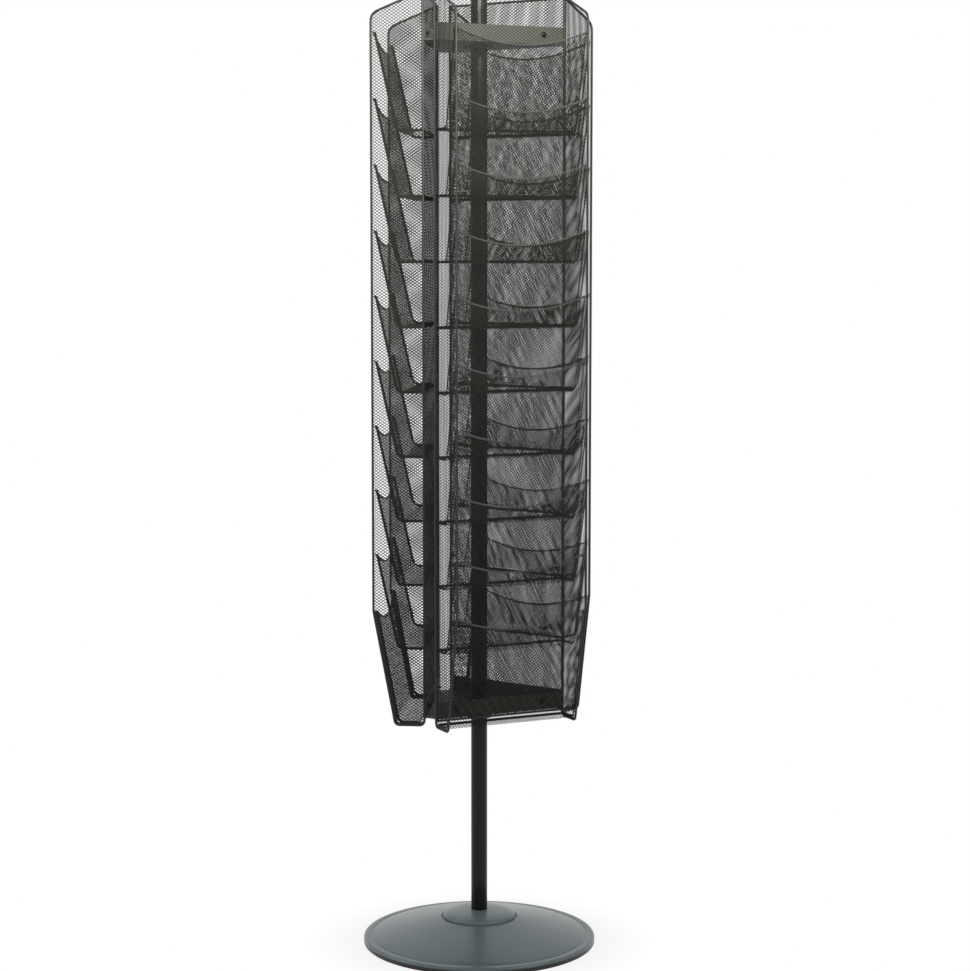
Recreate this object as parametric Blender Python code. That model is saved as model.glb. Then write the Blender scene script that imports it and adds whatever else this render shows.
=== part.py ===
"""Three-sided rotating display rack: thirty mesh pockets on a pole with a weighted round base.

Metres, +Z up. The origin is on the floor under the pole's axis. One panel faces -Y, and the
other two are turned 120 degrees either way. Everything from the brackets outwards turns on the pole.
"""
import math

import bmesh
import bpy
from mathutils import Matrix, Vector

# Clearances
FIT_GAP = 0.0003            # between pieces that touch, and round the pole
SCREW_PLAY = 0.0004         # round a screw's shank in its hole

# Mesh panels
PANEL_COUNT = 3
TIER_COUNT = 10
SHEET = 0.0008              # thickness of the expanded sheet
WIRE_RADIUS = 0.0020        # rim wire welded round every free edge
PANEL_WIDTH = 0.236         # between the mid-planes of the two side walls
PANEL_DEPTH = 0.085         # back sheet to the front wire
CORNER_INSET = 0.024        # a panel's back edge to the apex where two back planes cross
RACK_CLEARANCE = 0.401      # floor to the lowest wire of the rack
BACK_CUT = 0.010            # the back sheet stops this far above the foot of the side walls
TOP_RISE = 0.190            # top pocket's floor to the front corner of the side wall
TOP_SLOPE_RISE = 0.036      # from that corner up to the top of the back sheet
TOP_CORNER_RADIUS = 0.018
FOOT_CORNER_RADIUS = 0.008

# Pockets
TIER_PITCH = 0.107          # floor to floor of the upper pockets
TRAY_STEP = 0.125           # floor of the lowest pocket to the floor above it
POCKET_RISE = 0.160         # pocket floor to the ends of its top wire
TRAY_RISE = 0.190           # the same on the lowest pocket, which closes the panel
POCKET_FLOOR_DEPTH = 0.045  # back sheet to the crease, measured to its sharp corner
CREASE_RADIUS = 0.012
SCOOP = 0.024               # how far the top wire dips at mid-width
SCOOP_STEPS = 6
CREASE_STEPS = 2

# Brackets that tie the three panels together
BRACKET_SHEET = 0.002
FLANGE_HEIGHT = 0.028
BRACKET_DROP = 0.079        # top of the back sheet down to the upper bracket's plate
SCREW_SPREAD = 0.160        # between the two screws of a panel on one bracket

# Pole and its bearings
POLE_DIAMETER = 0.028
POLE_WALL = 0.0015
POLE_HEAD = 0.030           # pole above the top of the back sheets
CAP_CROWN = 0.006
CAP_SPIGOT = 0.015
BUSH_WALL = 0.004
BUSH_FLANGE = 0.006         # how far the bush's flange stands out round its sleeve
BUSH_FLANGE_THICKNESS = 0.003
BUSH_SLEEVE = 0.012         # sleeve above its flange
WASHER_THICKNESS = 0.0016
COLLAR_WALL = 0.008
COLLAR_HEIGHT = 0.014
SET_SCREW_DIAMETER = 0.005

# Base
BASE_DIAMETER = 0.400
COVER_WALL = 0.002
COVER_LIFT = 0.0012         # lower lip of the cover above the floor
RIM_HEIGHT = 0.0135
RIM_BAND = 0.013            # width of the rolled rim outside the groove
RIM_ROUND = 0.0045
GROOVE = 0.0012
DOME_RISE = 0.0305          # rim up to the foot of the hub
DOME_FULLNESS = 1.18        # 1 is a plain cone, more swells near the rim
HUB_DIAMETER = 0.128
HUB_STEP = 0.004
HUB_CROWN = 0.009
FOOT_HEIGHT = 0.003         # rubber ring under the weight
FOOT_WIDTH = 0.016
FOOT_INSET = 0.010          # edge of the weight to the rubber ring
WEIGHT_RISE = 0.015         # how much thicker the cast weight grows towards its boss
BOSS_WALL = 0.012           # cast wall round the foot of the pole
POLE_SEAT = 0.024           # height of the ledge in the boss that the pole stands on

# Fasteners
SCREW_DIAMETER = 0.0048
SCREW_HEAD_DIAMETER = 0.0095
SCREW_HEAD_HEIGHT = 0.003
SCREW_TAIL = 0.005          # shank past the inside of the bracket's flange
BOLT_DIAMETER = 0.010
BOLT_HEAD_WIDTH = 0.017     # across the flats
BOLT_HEAD_HEIGHT = 0.0064
BOLT_WASHER_DIAMETER = 0.030
BOLT_WASHER_THICKNESS = 0.002
BOLT_GRIP = 0.022           # thread inside the pole's plug
PLUG_HEIGHT = 0.030

# Facets of round pieces
BASE_FACETS = 48
ROUND_FACETS = 20
SCREW_FACETS = 8
WIRE_FACETS = 6
CORNER_FACETS = 4
DOME_STEPS = 4
CROWN_STEPS = 3
SMOOTH_ANGLE = math.radians(40)

# Places worked out from the sizes above
HALF_WIDTH = PANEL_WIDTH / 2
BACK_DISTANCE = (HALF_WIDTH + CORNER_INSET) / math.tan(math.pi / PANEL_COUNT)
POLE_RADIUS = POLE_DIAMETER / 2
BORE_RADIUS = POLE_RADIUS + FIT_GAP
WALL_FOOT = RACK_CLEARANCE + WIRE_RADIUS
TRAY_FLOOR = WALL_FOOT + WIRE_RADIUS + FIT_GAP + SHEET / 2
FLOORS = [TRAY_FLOOR] + [TRAY_FLOOR + TRAY_STEP + i * TIER_PITCH for i in range(TIER_COUNT - 1)]
WALL_FRONT_TOP = FLOORS[-1] + TOP_RISE
WALL_BACK_TOP = WALL_FRONT_TOP + TOP_SLOPE_RISE
BACK_FOOT = WALL_FOOT + BACK_CUT
LOWER_PLATE = BACK_FOOT + WIRE_RADIUS + FIT_GAP
UPPER_PLATE = WALL_BACK_TOP - BRACKET_DROP
POCKET_INSET = 2 * WIRE_RADIUS + FIT_GAP
POCKET_BACK = WIRE_RADIUS + FIT_GAP
POCKET_HALF_WIDTH = HALF_WIDTH - SHEET / 2 - FIT_GAP
FLANGE_FACE = BACK_DISTANCE - SHEET / 2 - FIT_GAP
FLANGE_HALF = HALF_WIDTH - WIRE_RADIUS - FIT_GAP
SLEEVE_RADIUS = BORE_RADIUS + BUSH_WALL
BASE_RADIUS = BASE_DIAMETER / 2
HUB_RADIUS = HUB_DIAMETER / 2
HUB_FOOT = RIM_HEIGHT + DOME_RISE
HUB_TOP = HUB_FOOT + HUB_STEP + HUB_CROWN
POLE_TOP = WALL_BACK_TOP + POLE_HEAD
POLE_FOOT = POLE_SEAT + FIT_GAP
WEIGHT_RADIUS = BASE_RADIUS - COVER_WALL - FIT_GAP
BOSS_RADIUS = BORE_RADIUS + BOSS_WALL
GROOVE_RADIUS = BASE_RADIUS - RIM_BAND
RIM_UNDERSIDE = RIM_HEIGHT - COVER_WALL - GROOVE
BOLT_RADIUS = BOLT_DIAMETER / 2
BOLT_HOLE_RADIUS = BOLT_RADIUS + FIT_GAP


def clear_scene():
    for obj in list(bpy.data.objects):
        bpy.data.objects.remove(obj, do_unlink=True)


def finish(name, colour, roughness, metallic):
    """A plain Principled material."""
    mat = bpy.data.materials.new(name)
    mat.use_nodes = True
    shader = mat.node_tree.nodes["Principled BSDF"]
    shader.inputs["Base Color"].default_value = (*colour, 1.0)
    shader.inputs["Roughness"].default_value = roughness
    shader.inputs["Metallic"].default_value = metallic
    return mat


def empty(name, parent=None, turn=0.0):
    obj = bpy.data.objects.new(name, None)
    obj.rotation_euler = (0.0, 0.0, turn)
    obj.parent = parent
    bpy.context.scene.collection.objects.link(obj)
    return obj


def place(name, mesh, mat, parent, location=(0.0, 0.0, 0.0), turn=(0.0, 0.0, 0.0)):
    """An object for a finished mesh, carried by its parent. Copies may share one mesh."""
    obj = bpy.data.objects.new(name, mesh)
    obj.location = location
    obj.rotation_euler = turn
    obj.parent = parent
    if not mesh.materials:
        mesh.materials.append(mat)
    bpy.context.scene.collection.objects.link(obj)
    return obj


def to_mesh(bm, name, smooth=False):
    bmesh.ops.recalc_face_normals(bm, faces=bm.faces)
    mesh = bpy.data.meshes.new(name)
    bm.to_mesh(mesh)
    bm.free()
    if smooth:
        mesh.shade_smooth()
        mesh.set_sharp_from_angle(angle=SMOOTH_ANGLE)
    return mesh


def turned(name, profile, facets=ROUND_FACETS):
    """A closed outline of (radius, height) points spun round Z."""
    bm = bmesh.new()
    verts = [bm.verts.new((radius, 0.0, height)) for radius, height in profile]
    edges = [bm.edges.new((verts[i - 1], verts[i])) for i in range(len(verts))
             if profile[i - 1][0] > 0 or profile[i][0] > 0]
    bmesh.ops.spin(bm, geom=verts + edges, cent=(0, 0, 0), axis=(0, 0, 1),
                   angle=2 * math.pi, steps=facets, use_merge=True)
    bmesh.ops.remove_doubles(bm, verts=bm.verts, dist=1e-6)
    return to_mesh(bm, name, smooth=True)


def lofted(name, rings):
    """Closed rings of equal length bridged one to the next, with a flat cap at each end."""
    bm = bmesh.new()
    rows = [[bm.verts.new(point) for point in ring] for ring in rings]
    for row, following in zip(rows, rows[1:]):
        for i in range(len(row)):
            bm.faces.new((row[i - 1], row[i], following[i], following[i - 1]))
    bm.faces.new(rows[0])
    bm.faces.new(rows[-1])
    return to_mesh(bm, name, smooth=True)


def slab(name, outline, thickness, frame):
    """A flat outline in its own plane, thickened evenly to both sides and set up by a frame."""
    bm = bmesh.new()
    face = bm.faces.new([bm.verts.new((x, y, -thickness / 2)) for x, y in outline])
    raised = bmesh.ops.extrude_face_region(bm, geom=[face])["geom"]
    tops = [item for item in raised if isinstance(item, bmesh.types.BMVert)]
    bmesh.ops.translate(bm, verts=tops, vec=(0, 0, thickness))
    bmesh.ops.transform(bm, matrix=frame, verts=bm.verts)
    return to_mesh(bm, name)


def wire(name, path, closed, frame):
    """Round wire along a flat path, mitred at each point of the path."""
    bm = bmesh.new()
    points = [Vector(point) for point in path]
    rings = []
    for i, point in enumerate(points):
        before = points[i - 1] if closed or i > 0 else point
        after = points[(i + 1) % len(points)] if closed or i + 1 < len(points) else point
        ways = [way.normalized() for way in (point - before, after - point) if way.length > 0]
        run = (ways[0] + ways[-1]).normalized()
        side = Vector((run.y, -run.x)) / run.dot(ways[0])
        ring = []
        for step in range(WIRE_FACETS):
            angle = 2 * math.pi * (step + 0.5) / WIRE_FACETS
            across = side * (WIRE_RADIUS * math.cos(angle))
            ring.append(bm.verts.new((*(point + across), WIRE_RADIUS * math.sin(angle))))
        rings.append(ring)
    pairs = list(zip(rings, rings[1:])) + ([(rings[-1], rings[0])] if closed else [])
    for ring, following in pairs:
        for i in range(WIRE_FACETS):
            bm.faces.new((ring[i - 1], ring[i], following[i], following[i - 1]))
    if not closed:
        bm.faces.new(rings[0])
        bm.faces.new(rings[-1])
    bmesh.ops.transform(bm, matrix=frame, verts=bm.verts)
    return to_mesh(bm, name)


def combined(name, body, others, operation, smooth=False):
    """The body's mesh joined with, or cut by, each of the other meshes in turn."""
    scene = bpy.context.scene.collection
    helpers = [bpy.data.objects.new(mesh.name, mesh) for mesh in [body] + others]
    for helper in helpers:
        scene.objects.link(helper)
    for helper in helpers[1:]:
        modifier = helpers[0].modifiers.new(helper.name, "BOOLEAN")
        modifier.operation = operation
        modifier.object = helper
    bpy.context.view_layer.update()
    evaluated = helpers[0].evaluated_get(bpy.context.evaluated_depsgraph_get())
    mesh = bpy.data.meshes.new_from_object(evaluated)
    mesh.name = name
    mesh.materials.clear()
    for helper in helpers:
        bpy.data.objects.remove(helper, do_unlink=True)
    if smooth:
        mesh.shade_smooth()
        mesh.set_sharp_from_angle(angle=SMOOTH_ANGLE)
    return mesh


def moved(mesh, frame):
    copy = mesh.copy()
    copy.transform(frame)
    return copy


def rounded(corners):
    """A closed outline of (x, y, radius) corners, with an arc in place of each rounded one."""
    outline = []
    for i, (x, y, radius) in enumerate(corners):
        corner = Vector((x, y))
        if radius == 0:
            outline.append(corner)
            continue
        back = (Vector(corners[i - 1][:2]) - corner).normalized()
        on = (Vector(corners[(i + 1) % len(corners)][:2]) - corner).normalized()
        half = back.angle(on) / 2
        centre = corner + (back + on).normalized() * (radius / math.sin(half))
        first = corner + back * (radius / math.tan(half)) - centre
        last = corner + on * (radius / math.tan(half)) - centre
        sweep = first.angle_signed(last)
        for step in range(CORNER_FACETS + 1):
            turn = Matrix.Rotation(-sweep * step / CORNER_FACETS, 2)
            outline.append(centre + turn @ first)
    return outline


# Frames that stand a flat outline up in a panel, which faces -Y
WALL_FRAME = Matrix(((0, 0, 1, 0), (-1, 0, 0, -BACK_DISTANCE), (0, 1, 0, 0), (0, 0, 0, 1)))
BACK_FRAME = Matrix(((1, 0, 0, 0), (0, 0, -1, -BACK_DISTANCE), (0, 1, 0, 0), (0, 0, 0, 1)))


def pocket_line(rise):
    """Crease and top of a pocket's front in (depth, height above its floor)."""
    return Vector((POCKET_FLOOR_DEPTH, 0.0)), Vector((PANEL_DEPTH - POCKET_INSET, rise))


def wall_outline():
    """Side wall in (depth, height): sloped top, upright front, and a foot cut along the tray's front."""
    crease, top = pocket_line(TRAY_RISE)
    run = (top - crease).normalized()
    outer = crease + Vector((run.y, -run.x)) * POCKET_INSET + Vector((0.0, TRAY_FLOOR))
    slope = run.x / run.y
    foot_depth = outer.x + (WALL_FOOT - outer.y) * slope
    kink = outer.y + (PANEL_DEPTH - outer.x) / slope
    return rounded([
        (0.0, WALL_FOOT, FOOT_CORNER_RADIUS),
        (foot_depth, WALL_FOOT, FOOT_CORNER_RADIUS),
        (PANEL_DEPTH, kink, 0.0),
        (PANEL_DEPTH, WALL_FRONT_TOP, TOP_CORNER_RADIUS),
        (0.0, WALL_BACK_TOP, 0.0),
    ])


def screw_places(plate_height):
    """Where the two screws of a panel cross its back sheet: (across, height)."""
    height = plate_height + FLANGE_HEIGHT / 2 + BRACKET_SHEET / 2
    return [(-SCREW_SPREAD / 2, height), (SCREW_SPREAD / 2, height)]


def screw_holes(places):
    """Cutters along Y at the back sheet of the panel that faces -Y."""
    radius = SCREW_DIAMETER / 2 + SCREW_PLAY
    reach = BRACKET_SHEET + SHEET + FIT_GAP
    drill = turned("drill", [(0, reach), (radius, reach), (radius, -2 * reach), (0, -2 * reach)], SCREW_FACETS)
    lay = Matrix.Rotation(math.pi / 2, 4, "X")
    return [moved(drill, Matrix.Translation((x, -BACK_DISTANCE, z)) @ lay) for x, z in places]


def panel_mesh():
    """Back sheet and two side walls with a wire round each free edge."""
    outline = wall_outline()
    parts = []
    for side in (-1, 1):
        frame = Matrix.Translation((side * HALF_WIDTH, 0, 0)) @ WALL_FRAME
        parts.append(wire("wall_wire", outline, True, frame))
        parts.append(slab("wall", outline, SHEET, frame))
    for height in (BACK_FOOT, WALL_BACK_TOP):
        ends = [(-HALF_WIDTH, height), (HALF_WIDTH, height)]
        parts.append(wire("cross_wire", ends, False, BACK_FRAME))
    sheet = [(-HALF_WIDTH, BACK_FOOT), (HALF_WIDTH, BACK_FOOT),
             (HALF_WIDTH, WALL_BACK_TOP), (-HALF_WIDTH, WALL_BACK_TOP)]
    back = combined("drilled_back", slab("back", sheet, SHEET, BACK_FRAME),
                    screw_holes(screw_places(LOWER_PLATE) + screw_places(UPPER_PLATE)), "DIFFERENCE")
    return combined("panel", back, parts, "UNION", smooth=True)


def pocket_ring(across, rise, back):
    """Section of a pocket at one place across its width: floor, crease, front and top wire."""
    crease, top = pocket_line(rise)
    run = (top - crease).normalized()
    out = Vector((run.y, -run.x))
    lean = math.atan2(run.x, run.y)
    half = SHEET / 2
    dip = SCOOP * (1.0 - (across / POCKET_HALF_WIDTH) ** 2)
    lip = top - run * (dip / run.y)
    turn = math.pi / 2 - lean
    tangent = CREASE_RADIUS * math.tan(turn / 2)
    centre = Vector((crease.x - tangent, CREASE_RADIUS))

    def bend(radius, backwards):
        steps = range(CREASE_STEPS + 1)
        angles = [-math.pi / 2 + turn * step / CREASE_STEPS for step in steps]
        arc = [centre + Vector((math.cos(a), math.sin(a))) * radius for a in angles]
        return arc[::-1] if backwards else arc

    neck = math.asin(half / WIRE_RADIUS)
    bead = [neck + (2 * math.pi - 2 * neck) * step / (WIRE_FACETS - 1) for step in range(WIRE_FACETS)]
    section = [Vector((back, -half))]
    section += bend(CREASE_RADIUS + half, False)
    section += [lip + (out * math.sin(a) - run * math.cos(a)) * WIRE_RADIUS for a in bead]
    section += bend(CREASE_RADIUS - half, True)
    section += [Vector((back, half))]
    return [(across, -BACK_DISTANCE - point.x, point.y) for point in section]


def pocket_mesh(name, rise, back):
    """A folded sheet whose front leans out, with a wire along its scooped top edge."""
    stations = [POCKET_HALF_WIDTH * (2 * step / SCOOP_STEPS - 1) for step in range(SCOOP_STEPS + 1)]
    return lofted(name, [pocket_ring(across, rise, back) for across in stations])


def bracket_mesh():
    """Plate with clipped corners and three upturned flanges, bored for the bush and the screws."""
    turns = [Matrix.Rotation(2 * math.pi * i / PANEL_COUNT, 4, "Z") for i in range(PANEL_COUNT)]
    sides = [(-FLANGE_HALF, -FLANGE_FACE), (FLANGE_HALF, -FLANGE_FACE)]
    outline = [(turn @ Vector((x, y, 0)))[:2] for turn in turns for x, y in sides]
    plate = slab("plate", outline, BRACKET_SHEET, Matrix.Translation((0, 0, BRACKET_SHEET / 2)))
    face = [(-FLANGE_HALF, 0), (FLANGE_HALF, 0), (FLANGE_HALF, FLANGE_HEIGHT), (-FLANGE_HALF, FLANGE_HEIGHT)]
    stand = Matrix.Translation((0, BACK_DISTANCE - FLANGE_FACE + BRACKET_SHEET / 2, 0)) @ BACK_FRAME
    flange = slab("flange", face, BRACKET_SHEET, stand)
    folded = combined("folded", plate, [moved(flange, turn) for turn in turns], "UNION")
    radius = SLEEVE_RADIUS + FIT_GAP
    deep = 2 * BRACKET_SHEET
    bore = turned("bore", [(0, deep), (radius, deep), (radius, -deep), (0, -deep)])
    holes = screw_holes(screw_places(0.0))
    cutters = [bore] + [moved(hole, turn) for turn in turns for hole in holes]
    return combined("bracket", folded, cutters, "DIFFERENCE")


def crown(outer, inner, foot, rise):
    """Points down a domed top from its inner to its outer radius, on a quarter of an ellipse."""
    start = math.acos(inner / outer)
    angles = [start * (1 - step / CROWN_STEPS) for step in range(CROWN_STEPS + 1)]
    return [(outer * math.cos(a), foot + rise * math.sin(a) / math.sin(start)) for a in angles]


def screw_mesh():
    """Round-head screw along Z, with the underside of its head at zero."""
    shank = SCREW_DIAMETER / 2
    tail = -(SHEET + 3 * FIT_GAP + BRACKET_SHEET + SCREW_TAIL)
    head = crown(SCREW_HEAD_DIAMETER / 2, 0, 0, SCREW_HEAD_HEIGHT)
    return turned("screw", head + [(shank, 0), (shank, tail), (0, tail)], SCREW_FACETS)


def ring_mesh(name, inner, outer, height, facets=ROUND_FACETS):
    """A plain ring standing on zero."""
    return turned(name, [(inner, height), (outer, height), (outer, 0), (inner, 0)], facets)


def bush_mesh():
    """Flanged bush, with the top of its flange at zero."""
    rim = SLEEVE_RADIUS + BUSH_FLANGE
    return turned("bush", [
        (BORE_RADIUS, BUSH_SLEEVE), (SLEEVE_RADIUS, BUSH_SLEEVE), (SLEEVE_RADIUS, 0),
        (rim, 0), (rim, -BUSH_FLANGE_THICKNESS), (BORE_RADIUS, -BUSH_FLANGE_THICKNESS),
    ])


def cap_mesh():
    """Domed plug for the top of the pole, with the underside of its rim at zero."""
    spigot = POLE_RADIUS - POLE_WALL - FIT_GAP
    dome_top = crown(POLE_RADIUS, 0, 0, CAP_CROWN)
    return turned("cap", dome_top + [(spigot, 0), (spigot, -CAP_SPIGOT), (0, -CAP_SPIGOT)])


def collar_mesh():
    """Stop collar with a radial hole for its set screw."""
    outer = BORE_RADIUS + COLLAR_WALL
    ring = ring_mesh("collar_ring", BORE_RADIUS, outer, COLLAR_HEIGHT)
    radius = SET_SCREW_DIAMETER / 2 + SCREW_PLAY
    drill = turned("collar_drill", [(0, 2 * outer), (radius, 2 * outer), (radius, 0), (0, 0)], SCREW_FACETS)
    lay = Matrix.Translation((0, 0, COLLAR_HEIGHT / 2)) @ Matrix.Rotation(math.pi / 2, 4, "X")
    return combined("collar", ring, [moved(drill, lay)], "DIFFERENCE", smooth=True)


def dome(start, stop, height, rise):
    """Points from the rim inwards, (radius, height), on a cone that swells near the rim."""
    points = []
    for step in range(DOME_STEPS + 1):
        along = step / DOME_STEPS
        points.append((start + (stop - start) * along, height + rise * along ** (1 / DOME_FULLNESS)))
    return points


def cover_mesh():
    """Pressed cover: rolled rim, groove, shallow dome, stepped hub and a hole for the pole."""
    edge = [(BASE_RADIUS - RIM_ROUND * (1 - math.sin(a)), RIM_HEIGHT - RIM_ROUND * (1 - math.cos(a)))
            for a in (math.pi / 2 * step / CORNER_FACETS for step in range(CORNER_FACETS + 1))]
    outside = dome(GROOVE_RADIUS - GROOVE, HUB_RADIUS + GROOVE, RIM_HEIGHT, DOME_RISE)
    hub_edge = HUB_FOOT + HUB_STEP
    hub = crown(HUB_RADIUS - GROOVE, BORE_RADIUS, hub_edge, HUB_CROWN)
    top = hub + [(HUB_RADIUS, hub_edge - GROOVE), (HUB_RADIUS, HUB_FOOT)] + outside[::-1]
    top += [(GROOVE_RADIUS, RIM_HEIGHT - GROOVE), (GROOVE_RADIUS + GROOVE, RIM_HEIGHT)] + edge
    top += [(BASE_RADIUS, COVER_LIFT + GROOVE), (BASE_RADIUS - GROOVE, COVER_LIFT)]
    inner_rim = BASE_RADIUS - COVER_WALL
    under = [(inner_rim, COVER_LIFT), (inner_rim, RIM_UNDERSIDE)]
    under += [(radius, height - COVER_WALL - GROOVE) for radius, height in outside[:-1]]
    under += [(HUB_RADIUS - COVER_WALL, HUB_FOOT - COVER_WALL - GROOVE),
              (HUB_RADIUS - COVER_WALL, hub_edge - COVER_WALL - GROOVE)]
    under += [(radius, height - COVER_WALL) for radius, height in hub[-2::-1]]
    return turned("cover", top + under, BASE_FACETS)


def weight_mesh():
    """Cast disc that thickens to a boss with a socket for the pole and a recess for the bolt's head."""
    foot = FOOT_HEIGHT + FIT_GAP
    edge = RIM_UNDERSIDE - FIT_GAP
    boss_top = HUB_TOP - COVER_WALL - HUB_CROWN / 2
    shoulder = edge + WEIGHT_RISE
    recess = BOLT_WASHER_DIAMETER / 2 + BOLT_WASHER_THICKNESS
    return turned("weight", [
        (BORE_RADIUS, boss_top), (BOSS_RADIUS, boss_top),
        (BOSS_RADIUS, shoulder), (HUB_RADIUS, shoulder), (GROOVE_RADIUS, edge), (WEIGHT_RADIUS, edge),
        (WEIGHT_RADIUS, foot), (recess, foot), (recess, recess_roof()),
        (BOLT_HOLE_RADIUS, recess_roof()), (BOLT_HOLE_RADIUS, POLE_SEAT), (BORE_RADIUS, POLE_SEAT),
    ], BASE_FACETS)


def recess_roof():
    """Height of the face in the weight's underside that the bolt's washer bears on."""
    return FOOT_HEIGHT + BOLT_HEAD_HEIGHT + BOLT_WASHER_THICKNESS + 3 * FIT_GAP


def bolt_mesh():
    """Hexagon bolt up through the weight into the plug, with the underside of its head at zero."""
    corner = BOLT_HEAD_WIDTH / math.sqrt(3)
    hexagon = [(corner * math.cos(math.pi / 3 * i), corner * math.sin(math.pi / 3 * i)) for i in range(6)]
    head = slab("bolt_head", hexagon, BOLT_HEAD_HEIGHT, Matrix.Translation((0, 0, BOLT_HEAD_HEIGHT / 2)))
    reach = POLE_FOOT + BOLT_GRIP - bolt_head_seat() + BOLT_HEAD_HEIGHT
    low = BOLT_HEAD_HEIGHT / 2
    shank = turned("shank", [(0, reach), (BOLT_RADIUS, reach), (BOLT_RADIUS, low), (0, low)], 2 * SCREW_FACETS)
    return combined("bolt", head, [shank], "UNION", smooth=True)


def bolt_head_seat():
    """Top of the bolt's head, under its washer."""
    return recess_roof() - BOLT_WASHER_THICKNESS - 2 * FIT_GAP


def build_stand():
    stand = empty("stand_frame")
    slate = finish("slate_paint", (0.145, 0.165, 0.175), 0.38, 0.1)
    black = finish("black_paint", (0.012, 0.012, 0.012), 0.36, 0.2)
    iron = finish("cast_iron", (0.09, 0.09, 0.09), 0.75, 0.6)
    zinc = finish("zinc_steel", (0.55, 0.55, 0.56), 0.35, 1.0)
    nylon = finish("black_nylon", (0.02, 0.02, 0.02), 0.55, 0.0)
    rubber = finish("rubber", (0.018, 0.018, 0.018), 0.85, 0.0)

    place("base_cover", cover_mesh(), slate, stand)
    place("base_weight", weight_mesh(), iron, stand)
    foot_outer = WEIGHT_RADIUS - FOOT_INSET
    foot = ring_mesh("foot", foot_outer - FOOT_WIDTH, foot_outer, FOOT_HEIGHT, BASE_FACETS)
    place("foot_ring", foot, rubber, stand)

    tube = ring_mesh("tube", POLE_RADIUS - POLE_WALL, POLE_RADIUS, POLE_TOP - POLE_FOOT)
    place("pole", tube, black, stand, (0, 0, POLE_FOOT))
    place("pole_cap", cap_mesh(), nylon, stand, (0, 0, POLE_TOP + FIT_GAP))
    plug_radius = POLE_RADIUS - POLE_WALL - FIT_GAP
    plug = ring_mesh("plug", BOLT_HOLE_RADIUS, plug_radius, PLUG_HEIGHT)
    place("pole_plug", plug, zinc, stand, (0, 0, POLE_FOOT))
    place("base_bolt", bolt_mesh(), zinc, stand, (0, 0, bolt_head_seat() - BOLT_HEAD_HEIGHT))
    washer = ring_mesh("bolt_washer", BOLT_HOLE_RADIUS, BOLT_WASHER_DIAMETER / 2, BOLT_WASHER_THICKNESS)
    place("bolt_washer", washer, zinc, stand, (0, 0, bolt_head_seat() + FIT_GAP))

    bush_foot = LOWER_PLATE - FIT_GAP - BUSH_FLANGE_THICKNESS
    washer_foot = bush_foot - FIT_GAP - WASHER_THICKNESS
    collar_foot = washer_foot - FIT_GAP - COLLAR_HEIGHT
    glide = ring_mesh("glide", BORE_RADIUS, SLEEVE_RADIUS + BUSH_FLANGE, WASHER_THICKNESS)
    place("thrust_washer", glide, nylon, stand, (0, 0, washer_foot))
    place("stop_collar", collar_mesh(), black, stand, (0, 0, collar_foot))
    grub_radius = SET_SCREW_DIAMETER / 2
    grub = turned("grub", [(0, COLLAR_WALL), (grub_radius, COLLAR_WALL), (grub_radius, 0), (0, 0)], SCREW_FACETS)
    place("collar_screw", grub, zinc, stand, (0, -BORE_RADIUS, collar_foot + COLLAR_HEIGHT / 2),
          (math.pi / 2, 0, 0))


def build_rack():
    pivot = empty("rack_pivot")
    mesh_black = finish("black_mesh", (0.014, 0.014, 0.014), 0.45, 0.2)
    bracket_black = finish("bracket_black", (0.010, 0.010, 0.010), 0.5, 0.2)
    nylon = finish("bush_nylon", (0.03, 0.03, 0.03), 0.55, 0.0)
    steel = finish("screw_steel", (0.5, 0.5, 0.5), 0.35, 1.0)

    bracket = bracket_mesh()
    bush = bush_mesh()
    for name, height in (("lower", LOWER_PLATE), ("upper", UPPER_PLATE)):
        place(name + "_bracket", bracket, bracket_black, pivot, (0, 0, height))
        place(name + "_bush", bush, nylon, pivot, (0, 0, height - FIT_GAP))

    panel = panel_mesh()
    pocket = pocket_mesh("pocket", POCKET_RISE, POCKET_BACK)
    tray = pocket_mesh("tray", TRAY_RISE, max(POCKET_BACK, FOOT_CORNER_RADIUS))
    screw = screw_mesh()
    head_seat = -BACK_DISTANCE - SHEET / 2 - FIT_GAP
    for index, letter in enumerate("abc"):
        side = empty("panel_frame_" + letter, pivot, 2 * math.pi * index / PANEL_COUNT)
        place("panel_" + letter, panel, mesh_black, side)
        for tier, floor in enumerate(FLOORS, start=1):
            shape = tray if tier == 1 else pocket
            place(f"pocket_{letter}{tier:02d}", shape, mesh_black, side, (0, 0, floor))
        for row, height in (("lower", LOWER_PLATE), ("upper", UPPER_PLATE)):
            for number, (across, level) in enumerate(screw_places(height), start=1):
                place(f"screw_{row}_{letter}{number}", screw, steel, side,
                      (across, head_seat, level), (math.pi / 2, 0, 0))


clear_scene()
build_stand()
build_rack()
bpy.context.view_layer.update()
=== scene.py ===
import math

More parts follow.
